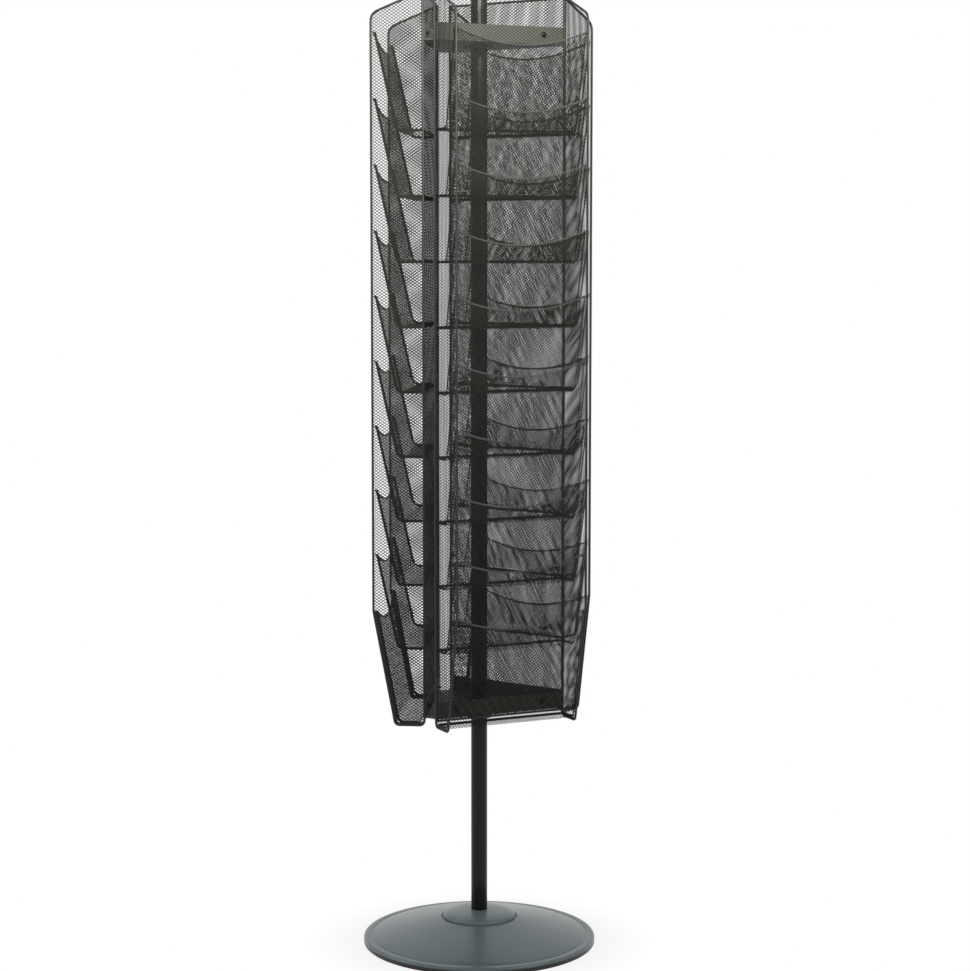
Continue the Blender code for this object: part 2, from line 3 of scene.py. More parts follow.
import bpy
import numpy as np
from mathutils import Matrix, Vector


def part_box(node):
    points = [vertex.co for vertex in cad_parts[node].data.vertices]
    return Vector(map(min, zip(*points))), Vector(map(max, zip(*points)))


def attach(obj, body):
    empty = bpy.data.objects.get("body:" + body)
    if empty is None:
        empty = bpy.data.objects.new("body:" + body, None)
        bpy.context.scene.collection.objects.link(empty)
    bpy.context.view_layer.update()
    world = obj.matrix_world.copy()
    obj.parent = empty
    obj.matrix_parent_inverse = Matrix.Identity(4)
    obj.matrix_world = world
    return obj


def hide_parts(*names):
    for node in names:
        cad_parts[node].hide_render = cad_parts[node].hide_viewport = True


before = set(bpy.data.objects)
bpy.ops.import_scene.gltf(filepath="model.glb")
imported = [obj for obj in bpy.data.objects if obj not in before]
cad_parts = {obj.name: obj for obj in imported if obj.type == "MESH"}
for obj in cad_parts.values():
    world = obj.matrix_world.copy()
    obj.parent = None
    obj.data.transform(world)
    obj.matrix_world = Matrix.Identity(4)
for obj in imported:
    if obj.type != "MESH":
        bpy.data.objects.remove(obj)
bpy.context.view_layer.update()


class Flow:  # one shader value; arithmetic on it adds Math nodes to its graph
    def __init__(self, graph, socket):
        self.graph = graph
        self.socket = socket

    def maths(self, operation, first, second):
        return self.graph.add("ShaderNodeMath", {"operation": operation}, {0: first, 1: second})

    def __add__(self, other):
        return self.maths("ADD", self, other)

    def __radd__(self, other):
        return self.maths("ADD", other, self)

    def __mul__(self, other):
        return self.maths("MULTIPLY", self, other)

    def __rmul__(self, other):
        return self.maths("MULTIPLY", other, self)

    def most(self, other):
        return self.maths("MAXIMUM", self, other)


def setStops(elements, stops):
    while len(elements) < len(stops):
        elements.new(1.0)
    for element, (place, level) in zip(elements, stops):
        element.position = place
        element.color = (level, level, level, 1.0)


class Graph:  # the nodes of one finish, of the floor or of the surroundings
    def __init__(self, tree):
        self.tree = tree

    def add(self, kind, settings=None, sockets=None, out=0):
        node = self.tree.nodes.new(kind)
        for key, value in (settings or {}).items():
            if key == "stops":
                setStops(node.color_ramp.elements, value)
            else:
                setattr(node, key, value)
        for key, value in (sockets or {}).items():
            self.join(value, node.inputs[key])
        return Flow(self, node.outputs[out])

    def join(self, value, socket):
        if isinstance(value, Flow):
            self.tree.links.new(value.socket, socket)
        else:
            socket.default_value = value

    def places(self):
        return self.add("ShaderNodeTexCoord", out="Object")

    def noise(self, places, scale, detail, stretch=None):
        if stretch:
            places = self.add("ShaderNodeMapping", {}, {"Vector": places, "Scale": stretch})
        return self.add("ShaderNodeTexNoise", {}, {"Vector": places, "Scale": scale, "Detail": detail})

    def ramp(self, value, *stops):
        return self.add("ShaderNodeValToRGB", {"stops": stops}, {0: value})

    def blend(self, share, first, second):  # the node's colour sockets are 6 and 7, and 2 on its way out
        return self.add("ShaderNodeMix", {"data_type": "RGBA"}, {0: share, 6: first, 7: second}, out=2)

    def seen(self):  # 1 where the camera, a mirror or a pane looks straight at this
        path = [self.add("ShaderNodeLightPath", out=name)
                for name in ("Is Camera Ray", "Is Glossy Ray", "Is Transmission Ray")]
        return path[0].most(path[1]).most(path[2])


class Finish(Graph):  # a Principled material; fixed values sit on the shader's own sockets
    def __init__(self, name, **fixed):
        self.material = bpy.data.materials.new(name)
        self.material.use_nodes = True
        super().__init__(self.material.node_tree)
        self.shader = self.tree.nodes["Principled BSDF"]
        for key, value in fixed.items():
            self.shader.inputs[key.replace("_", " ")].default_value = value

    def feed(self, **flows):
        for key, value in flows.items():
            self.join(value, self.shader.inputs[key.replace("_", " ")])

    def bump(self, height, depth):
        rough = self.add("ShaderNodeBump", {}, {"Height": height, "Distance": depth, "Strength": 1.0})
        self.feed(Normal=rough)


def shade(red, green, blue):
    return (red, green, blue, 1.0)


def meshEnamel():
    look = dict(deep=shade(0.020, 0.0202, 0.0194), thin=shade(0.029, 0.0293, 0.0282),
                cloud=7.0, wornFrom=0.35, wornTo=0.7, grain=420.0)
    finish = Finish("meshEnamel", Metallic=0.0, Specular_IOR_Level=0.06)
    places = finish.places()
    cloud = finish.noise(places, look["cloud"], detail=4.0)
    grain = finish.noise(places, look["grain"], detail=1.0)
    worn = finish.ramp(cloud, (look["wornFrom"], 0.0), (look["wornTo"], 1.0))
    finish.feed(Base_Color=finish.blend(worn, look["deep"], look["thin"]),
                Roughness=0.48 + 0.12 * grain + 0.10 * cloud)
    return finish.material


def wireEnamel(name, gloss):
    look = dict(deep=shade(0.018, 0.0182, 0.0175), thin=shade(0.029, 0.0293, 0.0282),
                line=180.0, draw=(1.0, 1.0, 0.04))
    finish = Finish(name, Metallic=0.0, Specular_IOR_Level=gloss)
    drawn = finish.noise(finish.places(), look["line"], detail=2.0, stretch=look["draw"])
    finish.feed(Base_Color=finish.blend(drawn, look["deep"], look["thin"]),
                Roughness=0.38 + 0.14 * drawn)
    return finish.material


def bracketEnamel():
    look = dict(deep=shade(0.088, 0.0895, 0.0780), rubbed=shade(0.108, 0.1100, 0.0960),
                cloud=18.0, grain=900.0, grainDepth=0.00005)
    finish = Finish("bracketEnamel", Metallic=0.0, Specular_IOR_Level=0.26)
    places = finish.places()
    cloud = finish.noise(places, look["cloud"], detail=3.0)
    grain = finish.noise(places, look["grain"], detail=2.0)
    finish.feed(Base_Color=finish.blend(cloud, look["deep"], look["rubbed"]),
                Roughness=0.40 + 0.14 * grain)
    finish.bump(grain, look["grainDepth"])
    return finish.material


def poleEnamel():
    look = dict(deep=shade(0.006, 0.006, 0.0062), thin=shade(0.010, 0.010, 0.0102),
                line=240.0, draw=(1.0, 1.0, 0.02), peel=260.0, peelDepth=0.00004)
    finish = Finish("poleEnamel", Metallic=0.0, Specular_IOR_Level=0.2)
    places = finish.places()
    drawn = finish.noise(places, look["line"], detail=2.0, stretch=look["draw"])  # lines along the tube
    peel = finish.noise(places, look["peel"], detail=1.0)
    finish.feed(Base_Color=finish.blend(drawn, look["deep"], look["thin"]),
                Roughness=0.13 + 0.08 * drawn + 0.05 * peel)
    finish.bump(peel, look["peelDepth"])
    return finish.material


def slateEnamel():
    look = dict(body=shade(0.148, 0.195, 0.209), dusty=shade(0.161, 0.210, 0.225),
                cloud=11.0, dustFrom=0.38, dustTo=0.68, peel=380.0, peelDepth=0.00006,
                paintedShadeBand=shade(0.012, 0.013, 0.0135), paintedShadeTop=0.0085, paintedShadeFade=0.0010)
    finish = Finish("slateEnamel", Metallic=0.0, Specular_IOR_Level=0.35)
    places = finish.places()
    cloud = finish.noise(places, look["cloud"], detail=5.0)
    peel = finish.noise(places, look["peel"], detail=1.5)
    dust = finish.ramp(cloud, (look["dustFrom"], 0.0), (look["dustTo"], 1.0))
    paint = finish.blend(dust, look["body"], look["dusty"])
    # below the band's top height the colour turns near black: painted shade on the cover's side wall under
    # the rolled rim
    height = finish.add("ShaderNodeSeparateXYZ", {}, {0: places}, out="Z")
    above = finish.add("ShaderNodeMapRange", {}, {
        "Value": height, "From Min": look["paintedShadeTop"] - look["paintedShadeFade"],
        "From Max": look["paintedShadeTop"] + look["paintedShadeFade"]})
    finish.feed(Base_Color=finish.blend(above, look["paintedShadeBand"], paint),
                Roughness=0.22 + 0.10 * cloud + 0.05 * peel)
    finish.bump(peel, look["peelDepth"])
    return finish.material


def castIron():
    look = dict(dark=shade(0.035, 0.034, 0.033), worn=shade(0.085, 0.082, 0.078), sand=310.0,
                sandDepth=0.0004)
    finish = Finish("castIron", Metallic=0.35)
    places = finish.places()
    sand = finish.noise(places, look["sand"], detail=6.0)
    finish.feed(Base_Color=finish.blend(sand, look["dark"], look["worn"]), Roughness=0.62 + 0.2 * sand)
    finish.bump(sand, look["sandDepth"])
    return finish.material


def zincPlate():
    look = dict(bright=shade(0.60, 0.60, 0.61), dull=shade(0.42, 0.42, 0.43), spangle=160.0)
    finish = Finish("zincPlate", Metallic=1.0)
    places = finish.places()
    spangle = finish.add("ShaderNodeTexVoronoi", {}, {"Vector": places, "Scale": look["spangle"]},
                         out="Color")
    tone = finish.add("ShaderNodeSeparateColor", {}, {0: spangle})
    finish.feed(Base_Color=finish.blend(tone, look["dull"], look["bright"]),
                Roughness=0.26 + 0.14 * tone)
    return finish.material


def blackNylon():
    look = dict(body=shade(0.016, 0.016, 0.016), pale=shade(0.026, 0.026, 0.026), spark=700.0,
                sparkDepth=0.00005)
    finish = Finish("blackNylon", Metallic=0.0)
    places = finish.places()
    spark = finish.noise(places, look["spark"], detail=2.0)
    finish.feed(Base_Color=finish.blend(spark, look["body"], look["pale"]),
                Roughness=0.44 + 0.16 * spark)
    finish.bump(spark, look["sparkDepth"])
    return finish.material


def footRubber():
    look = dict(body=shade(0.014, 0.014, 0.014), bloom=shade(0.034, 0.033, 0.032), bloomSize=40.0,
                bloomDepth=0.0002)
    finish = Finish("footRubber", Metallic=0.0)
    places = finish.places()
    bloom = finish.noise(places, look["bloomSize"], detail=6.0)
    finish.feed(Base_Color=finish.blend(bloom, look["body"], look["bloom"]),
                Roughness=0.72 + 0.2 * bloom)
    finish.bump(bloom, look["bloomDepth"])
    return finish.material


meshBlack = meshEnamel()
frameBlack = wireEnamel("frameEnamel", gloss=0.25)
rimBlack = wireEnamel("rimEnamel", gloss=0.45)
bracketBlack = bracketEnamel()
poleBlack = poleEnamel()
slate = slateEnamel()
iron = castIron()
zinc = zincPlate()
nylon = blackNylon()
rubber = footRubber()
print("finishes made:", len(bpy.data.materials))


# Shapes are (points, quads, triangles) arrays

smoothAngle = math.radians(40)
weldDigits = 6  # points that agree to a micrometre meet


def weld(points, quads):
    # points that meet become one; a quad that loses a corner becomes a triangle, one that loses more goes
    _, first, index = np.unique(np.round(points, weldDigits), axis=0,
                                return_index=True, return_inverse=True)
    quads = index.reshape(-1)[quads]
    same = quads == np.roll(quads, -1, axis=1)
    lost = same.sum(1)
    tris = quads[lost == 1][~same[lost == 1]].reshape(-1, 3)
    quads = quads[lost == 0]
    used, place = np.unique(np.concatenate([quads.ravel(), tris.ravel()]), return_inverse=True)
    place = place.reshape(-1)
    return points[first][used], place[:quads.size].reshape(-1, 4), place[quads.size:].reshape(-1, 3)


def joined(*shapes):
    starts = np.cumsum([0] + [len(shape[0]) for shape in shapes])
    points = np.concatenate([shape[0] for shape in shapes])
    quads = np.concatenate([shape[1] + start for shape, start in zip(shapes, starts)])
    tris = np.concatenate([shape[2] + start for shape, start in zip(shapes, starts)])
    return points, quads, tris


def turnedBy(shape, angle):
    cosine, sine = math.cos(angle), math.sin(angle)
    turn = np.array([[cosine, -sine, 0], [sine, cosine, 0], [0, 0, 1]])
    return shape[0] @ turn.T, shape[1], shape[2]


def gridQuads(rows, columns, wrapRows):
    # faces of a grid whose columns close round
    grid = np.arange(rows * columns).reshape(rows, columns)
    if wrapRows:
        grid = np.concatenate([grid, grid[:1]])
    grid = np.concatenate([grid, grid[:, :1]], axis=1)
    return np.stack([grid[:-1, :-1], grid[1:, :-1], grid[1:, 1:], grid[:-1, 1:]], -1).reshape(-1, 4)


def spun(outline, sides, closed=False):
    # an outline of (radius, height) carried round Z; it runs down its outer side
    outline = np.asarray(outline, float)
    angle = 2 * math.pi * np.arange(sides) / sides
    radius = outline[:, :1]
    height = np.repeat(outline[:, 1:], sides, axis=1)
    points = np.stack([radius * np.cos(angle), radius * np.sin(angle), height], -1)
    return weld(points.reshape(-1, 3), gridQuads(len(outline), sides, closed))


def tube(path, flatNormal, radius, sides, closed=False):
    # a circle carried along a flat path, mitred at its corners, with both ends of an open path closed
    steps = np.roll(path, -1, axis=0) - path
    steps = steps / np.linalg.norm(steps, axis=1, keepdims=True)
    before = np.roll(steps, 1, axis=0)
    if not closed:
        before[0] = steps[0]
        steps[-1] = before[-1]
    run = before + steps
    run = run / np.linalg.norm(run, axis=1, keepdims=True)
    side = np.cross(run, flatNormal) / np.sum(run * before, axis=1, keepdims=True)
    angle = 2 * math.pi * np.arange(sides) / sides
    ring = side[:, None] * np.cos(angle)[:, None] + np.asarray(flatNormal) * np.sin(angle)[:, None]
    points = path[:, None] + radius * ring
    if not closed:
        ends = [np.repeat(path[i][None, None], sides, axis=1) for i in (0, -1)]
        points = np.concatenate([ends[0], points, ends[1]])
    return weld(points.reshape(-1, 3), gridQuads(len(points), sides, closed))


arcSteps = 8


def roundedPath(corners):
    # corners of (x, y, radius) as a closed flat path, with an arc in place of each rounded corner
    spots = np.array([corner[:2] for corner in corners], float)
    parts = []
    for i, (*_, radius) in enumerate(corners):
        if radius == 0:
            parts.append(spots[i:i + 1])
            continue
        back = spots[i - 1] - spots[i]
        on = spots[(i + 1) % len(spots)] - spots[i]
        back, on = back / np.linalg.norm(back), on / np.linalg.norm(on)
        half = math.acos(back @ on) / 2
        middle = (back + on) / np.linalg.norm(back + on)
        centre = spots[i] + middle * radius / math.sin(half)
        first = spots[i] + back * radius / math.tan(half) - centre
        last = spots[i] + on * radius / math.tan(half) - centre
        share = np.linspace(0, 1, arcSteps + 1)[:, None]
        sweep = math.pi - 2 * half
        swing = first * np.sin((1 - share) * sweep) + last * np.sin(share * sweep)
        parts.append(centre + swing / math.sin(sweep))
    return np.concatenate(parts)


def addPiece(name, shape, finish, body, stands=()):
    # puts whole arrays into a mesh; the object stays at the origin and rides on its body
    points, quads, tris = shape
    corners = np.concatenate([quads.ravel(), tris.ravel()])
    starts = np.concatenate([4 * np.arange(len(quads)), quads.size + 3 * np.arange(len(tris))])
    mesh = bpy.data.meshes.new(name)
    mesh.vertices.add(len(points))
    mesh.vertices.foreach_set("co", points.astype(np.float32).ravel())
    mesh.loops.add(len(corners))
    mesh.loops.foreach_set("vertex_index", corners.astype(np.int32))
    mesh.polygons.add(len(starts))
    mesh.polygons.foreach_set("loop_start", starts.astype(np.int32))
    mesh.update(calc_edges=True)
    mesh.shade_smooth()
    mesh.set_sharp_from_angle(angle=smoothAngle)
    mesh.materials.append(finish)
    obj = bpy.data.objects.new(name, mesh)
    bpy.context.scene.collection.objects.link(obj)
    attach(obj, body)
    if stands:
        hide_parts(*stands)


# Expanded mesh

weave = dict(  # across and up: size of a diamond, size of a bond, rise of the lean
    wall=dict(diamond=(0.0072, 0.0050), bond=(0.00182, 0.00126), lean=(0.0, 0.0006)),
    back=dict(diamond=(0.0072, 0.0050), bond=(0.00166, 0.00114), lean=(0.0, 0.0006)),
    pocket=dict(diamond=(0.0050, 0.0072), bond=(0.00114, 0.00166), lean=(-0.00015, 0.0)),
    tray=dict(diamond=(0.0050, 0.0072), bond=(0.00114, 0.00166), lean=(-0.00021, 0.0)))
leastFace = 0.01  # of a bond's half sizes multiplied; what is trimmed to less goes


def expandedSheet(kind, sides, reach, low, high, lay):
    # Bonds sit on every other point of a grid. A bond is a diamond that leans the short way, one corner
    # lifted and the other sunk, and a strand is the ribbon between the facing edges of two bonds. The sheet
    # is trimmed to its sides and to a low and a high edge, and laid on its surface.
    halfWide, halfTall = np.array(weave[kind]["diamond"]) / 2
    columns = np.arange(math.floor(sides[0] / halfWide) - 1, math.ceil(sides[1] / halfWide) + 2)
    rows = np.arange(math.floor(reach[0] / halfTall) - 1, math.ceil(reach[1] / halfTall) + 2)
    column, row = np.meshgrid(columns, rows, indexing="ij")
    taken = (column + row) % 2 == 0
    bond = np.full(taken.shape, -1)
    bond[taken] = 4 * np.arange(taken.sum())
    length, height = np.array(weave[kind]["bond"]) / 2
    tilt, lift = weave[kind]["lean"]
    corner = np.array([(length, 0, -tilt), (0, height, -lift), (-length, 0, tilt), (0, -height, lift)])
    east, north, west, south = range(4)
    middle = np.stack([column[taken] * halfWide, row[taken] * halfTall, np.zeros(taken.sum())], -1)
    spots = (middle[:, None] + corner).reshape(-1, 3)
    quads = [bond[taken][:, None] + (east, north, west, south)]
    for here, there, nearLow, farLow, farHigh, nearHigh in (
            (bond[:-1, :-1], bond[1:, 1:], east, south, west, north),
            (bond[:-1, 1:], bond[1:, :-1], south, west, north, east)):
        both = (here >= 0) & (there >= 0)
        here, there = here[both], there[both]
        quads.append(np.stack([here + nearLow, there + farLow, there + farHigh, here + nearHigh], -1))
    quads = np.concatenate(quads)
    across = np.clip(spots[:, 0], *sides)
    up = np.clip(spots[:, 1], low(across), high(across))
    flat = np.stack([across, up], -1)[quads]
    first, second = flat[:, 2] - flat[:, 0], flat[:, 3] - flat[:, 1]
    area = np.abs(first[:, 0] * second[:, 1] - first[:, 1] * second[:, 0]) / 2
    quads = quads[area > leastFace * length * height]
    return weld(lay(across, up, spots[:, 2]), quads)


# Pockets

pocket = dict(sheet=0.0008, floorDepth=0.045, frontDepth=0.0807, rise=0.160, trayRise=0.190,
              crease=0.012, scoop=0.024, back=0.0023, trayBack=0.008, sideGap=0.0007,
              wire=0.0017, wireSides=8, wireSteps=32, fold=0.0045, foldSteps=24)
panel = dict(wire=0.0020, depth=0.085, topRise=0.190, topSlope=0.036, topCorner=0.018, footDrop=0.0027,
             footCorner=0.008, backCut=0.010, hem=0.0048, letters="abc", tiers=10, wireSides=8)

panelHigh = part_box("panel_a")[1]
halfWidth = panelHigh.x - panel["wire"]
backPlane = panelHigh.y - panel["wire"]  # mid-plane of the back sheet of the panel that faces -Y
floors = [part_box(f"pocket_a{tier:02d}")[0].z + pocket["sheet"] / 2
          for tier in range(1, panel["tiers"] + 1)]
panelTurns = {letter: 2 * math.pi * index / len(panel["letters"])
              for index, letter in enumerate(panel["letters"])}


def pocketShape(kind, rise, back):
    # one folded sheet: flat floor, crease on an arc, front leaning out to a top that dips on a parabola
    lean = math.atan2(pocket["frontDepth"] - pocket["floorDepth"], rise)
    bend = math.pi / 2 - lean
    radius = pocket["crease"]
    tangent = radius * math.tan(bend / 2)
    floorLength = pocket["floorDepth"] - tangent - back
    creaseEnd = floorLength + radius * bend
    wholeLength = creaseEnd + math.hypot(pocket["frontDepth"] - pocket["floorDepth"], rise) - tangent
    half = halfWidth - pocket["sideGap"]

    def lay(across, along, out):
        angle = np.clip((along - floorLength) / radius, 0, bend) - math.pi / 2
        beyond = np.maximum(along - creaseEnd, 0)
        reach = radius + out
        depth = back + np.minimum(along, floorLength) + reach * np.cos(angle) + beyond * math.sin(lean)
        height = radius + reach * np.sin(angle) + beyond * math.cos(lean)
        return np.stack([across, backPlane - depth, height], -1)

    def top(across):
        return wholeLength - pocket["scoop"] * (1 - (across / half) ** 2) / math.cos(lean)

    sheet = expandedSheet(kind, (-half, half), (0, wholeLength), np.zeros_like, top, lay)
    across = np.linspace(-half, half, pocket["wireSteps"] + 1)
    rim = tube(lay(across, top(across), np.zeros_like(across)), (0, -math.cos(lean), -math.sin(lean)),
               pocket["wire"], pocket["wireSides"])
    along = np.linspace(0, wholeLength, pocket["foldSteps"] + 1)
    folds = [foldedEdge(lay, side * half, along) for side in (-1, 1)]
    upturned = np.array([(side * half, backPlane - back, level)  # against the back sheet
                         for level in (0, pocket["fold"]) for side in (-1, 1)])
    folds.append((upturned, np.array([(0, 1, 3, 2)]), np.empty((0, 3), int)))
    return dict(mesh=joined(sheet, *folds), rim=rim)


def foldedEdge(lay, across, along):
    # the narrow edge that is turned in against a side wall: a strip from the sheet to the fold's depth
    level = np.repeat([0.0, -pocket["fold"]], len(along))
    points = lay(np.full(2 * len(along), across), np.tile(along, 2), level)
    first = np.arange(len(along) - 1)
    quads = np.stack([first, first + 1, first + 1 + len(along), first + len(along)], -1)
    return weld(points, quads)


def addPockets():
    tray = pocketShape("tray", pocket["trayRise"], pocket["trayBack"])
    upper = pocketShape("pocket", pocket["rise"], pocket["back"])
    for letter, turn in panelTurns.items():
        for tier, floor in enumerate(floors, start=1):
            node = f"pocket_{letter}{tier:02d}"
            shapes = tray if tier == 1 else upper
            for part, finish, stands in (("mesh", meshBlack, [node]), ("rim", rimBlack, [])):
                points, quads, tris = shapes[part]
                lifted = points + np.array([0, 0, floor]), quads, tris
                addPiece(f"{node}_{part}", turnedBy(lifted, turn), finish, "rack", stands)


addPockets()
print("pockets made:", len(panel["letters"]) * panel["tiers"])


# Panels

def panelShapes():
    # back sheet, two side walls and a frame of round wire; below the kink, a wall's front edge runs
    # parallel to the tray's front
    wallFoot = floors[0] - panel["footDrop"]
    frontTop = floors[-1] + panel["topRise"]
    backTop = frontTop + panel["topSlope"]
    lean = math.atan2(pocket["frontDepth"] - pocket["floorDepth"], pocket["trayRise"])
    inset = panel["depth"] - pocket["frontDepth"]
    outerDepth = pocket["floorDepth"] + inset * math.cos(lean)
    outerHeight = floors[0] - inset * math.sin(lean)
    footDepth = outerDepth + (wallFoot - outerHeight) * math.tan(lean)
    kink = outerHeight + (panel["depth"] - outerDepth) / math.tan(lean)
    foot, corner = panel["footCorner"], panel["topCorner"]
    outline = roundedPath([(0, wallFoot, foot), (footDepth, wallFoot, foot), (panel["depth"], kink, 0),
                           (panel["depth"], frontTop, corner), (0, backTop, 0)])
    slope = panel["topSlope"] / panel["depth"]
    steep = math.hypot(1, slope)
    cornerDepth = panel["depth"] - corner
    cornerHeight = backTop - slope * cornerDepth - corner * steep
    footCentre = footDepth - foot * math.tan((math.pi / 2 - lean) / 2)

    def low(depth):
        inside = np.maximum(np.maximum(foot - depth, depth - footCentre), 0)
        rounded = wallFoot + foot - np.sqrt(np.maximum(foot ** 2 - inside ** 2, 0))
        slanted = kink - (panel["depth"] - depth) / math.tan(lean)
        return np.where(depth > footCentre + foot * math.cos(lean), slanted, rounded)

    def high(depth):
        arc = cornerHeight + np.sqrt(np.maximum(corner ** 2 - (depth - cornerDepth) ** 2, 0))
        return np.where(depth > cornerDepth + corner * slope / steep, arc, backTop - slope * depth)

    def wall(side):
        def lay(depth, height, out):
            return np.stack([side * (halfWidth + out), backPlane - depth, height], -1)

        points, quads, tris = expandedSheet("wall", (0, panel["depth"]), (wallFoot, backTop),
                                            low, high, lay)
        return (points, quads, tris) if side < 0 else (points, quads[:, ::-1], tris[:, ::-1])

    def layBack(across, height, out):
        return np.stack([across, backPlane - out, height], -1)

    backFoot = wallFoot + panel["backCut"]
    back = expandedSheet("back", (-halfWidth, halfWidth), (backFoot, backTop),
                         lambda across: np.full_like(across, backFoot),
                         lambda across: np.full_like(across, backTop), layBack)
    wires = []
    for side in (-1, 1):
        path = np.stack([np.full(len(outline), side * halfWidth),
                         backPlane - outline[:, 0], outline[:, 1]], -1)
        wires.append(tube(path, (-1, 0, 0), panel["wire"], panel["wireSides"], closed=True))
        wires.append(hem(path))
    for height in (backFoot, backTop):
        path = np.array([(-halfWidth, backPlane, height), (halfWidth, backPlane, height)])
        wires.append(tube(path, (0, -1, 0), panel["wire"], panel["wireSides"]))
    return dict(back=back, left_wall=wall(-1), right_wall=wall(1), frame=joined(*wires))


def hem(path):
    # the doubled edge of a wall round the tray, from the back of its foot up to the kink in its front
    count = 2 * (arcSteps + 1) + 1  # the points of two foot corners and the kink
    run = path[2:count + 1] - path[:count - 1]
    run /= np.linalg.norm(run, axis=1, keepdims=True)
    edge = path[1:count]
    inner = edge + panel["hem"] * np.cross(run, (1, 0, 0))
    first = np.arange(len(edge) - 1)
    quads = np.stack([first, first + 1, first + 1 + len(edge), first + len(edge)], -1)
    return weld(np.concatenate([edge, inner]), quads)


def addPanels():
    shapes = panelShapes()
    for letter, turn in panelTurns.items():
        for part, shape in shapes.items():
            stands = [f"panel_{letter}"] if part == "frame" else []
            finish = frameBlack if part == "frame" else meshBlack
            addPiece(f"panel_{letter}_{part}", turnedBy(shape, turn), finish, "rack", stands)


addPanels()
print("panels made:", len(panel["letters"]))


# Base, pole and bearings

baseCover = dict(wall=0.002, polePlay=0.0003, rimHeight=0.0135, rimBand=0.013, rimRound=0.0045,
                 groove=0.0012, domeRise=0.0305, fullness=1.18, hub=0.124, hubStep=0.004, hubCrown=0.009,
                 hubGap=0.0040, hubGapDepth=0.0026, hubGapFloor=0.0018, rimGroove=0.0005, sides=192,
                 crownSteps=24, beadSteps=8, domeSteps=48, grooveSteps=9, rimSteps=12)


def quarter(count):
    return np.linspace(0, math.pi / 2, count)


def addBaseCover():
    # rim and lip on quarter circles, groove, dome rising as share ** (1 / fullness), hub on an ellipse
    cover = baseCover
    low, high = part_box("base_cover")
    radius, bore = high.x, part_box("pole")[1].x + cover["polePlay"]
    groove = cover["groove"]
    grooveRadius, hubRadius = radius - cover["rimBand"], cover["hub"] / 2
    hubFoot = cover["rimHeight"] + cover["domeRise"]
    hubEdge = hubFoot + cover["hubStep"]
    start = math.acos(bore / (hubRadius - groove))
    angle = np.linspace(start, 0, cover["crownSteps"])
    crown = np.stack([(hubRadius - groove) * np.cos(angle),
                      hubEdge + cover["hubCrown"] * np.sin(angle) / math.sin(start)], -1)
    turn = quarter(cover["beadSteps"])
    hubBead = np.stack([hubRadius - groove + groove * np.sin(turn),
                        hubEdge - groove + groove * np.cos(turn)], -1)
    share = np.linspace(1, 0, cover["domeSteps"])
    dome = np.stack([grooveRadius - groove + (hubRadius + cover["hubGap"] - grooveRadius + groove) * share,
                     cover["rimHeight"] + cover["domeRise"] * share ** (1 / cover["fullness"])], -1)
    dip = np.linspace(0, math.pi, cover["grooveSteps"])
    channel = np.stack([grooveRadius - groove * np.cos(dip),
                        cover["rimHeight"] - cover["rimGroove"] * np.sin(dip)], -1)
    turn = quarter(cover["rimSteps"])
    rim = np.stack([radius - cover["rimRound"] * (1 - np.sin(turn)),
                    cover["rimHeight"] - cover["rimRound"] * (1 - np.cos(turn))], -1)
    lip = np.stack([radius - groove * (1 - np.cos(turn)), low.z + groove * (1 - np.sin(turn))], -1)
    gapFoot = hubFoot - cover["hubGapDepth"]
    gap = [(hubRadius, gapFoot), (hubRadius + cover["hubGapFloor"], gapFoot)]
    outside = np.concatenate([crown, hubBead, gap, dome, channel, rim, lip])
    inner = radius - cover["wall"]
    drop = cover["wall"] + cover["hubGapDepth"]
    inside = np.concatenate([[(inner, low.z), (inner, cover["rimHeight"] - drop)],
                             dome[::-1][:-1] - (0, drop), [(hubRadius - cover["wall"], hubFoot - drop)],
                             crown[::-1][1:] - (0, cover["wall"])])
    shell = spun(np.concatenate([outside, inside]), cover["sides"], closed=True)
    addPiece("base_cover_shell", shell, slate, "stand", ["base_cover"])


turned = dict(sides=64, edgeSteps=5, play=0.0003, poleWall=0.0015, poleEdge=0.0004, spigotInset=0.0018,
              crown=0.006, crownSteps=14, collarEdge=0.0008, washerEdge=0.0003, sleeveWall=0.004,
              sleeveEdge=0.0006, flange=0.003, flangeEdge=0.0005)


def ring(inner, outer, low, high, edge):
    # a turned ring with rounded edges of the given radius
    turn = quarter(turned["edgeSteps"])
    sine, cosine = edge * (1 - np.sin(turn)), edge * (1 - np.cos(turn))
    return np.concatenate([
        np.stack([outer - sine, high - cosine], -1), np.stack([outer - cosine, low + sine], -1),
        np.stack([inner + sine, low + cosine], -1), np.stack([inner + cosine, high - sine], -1)])


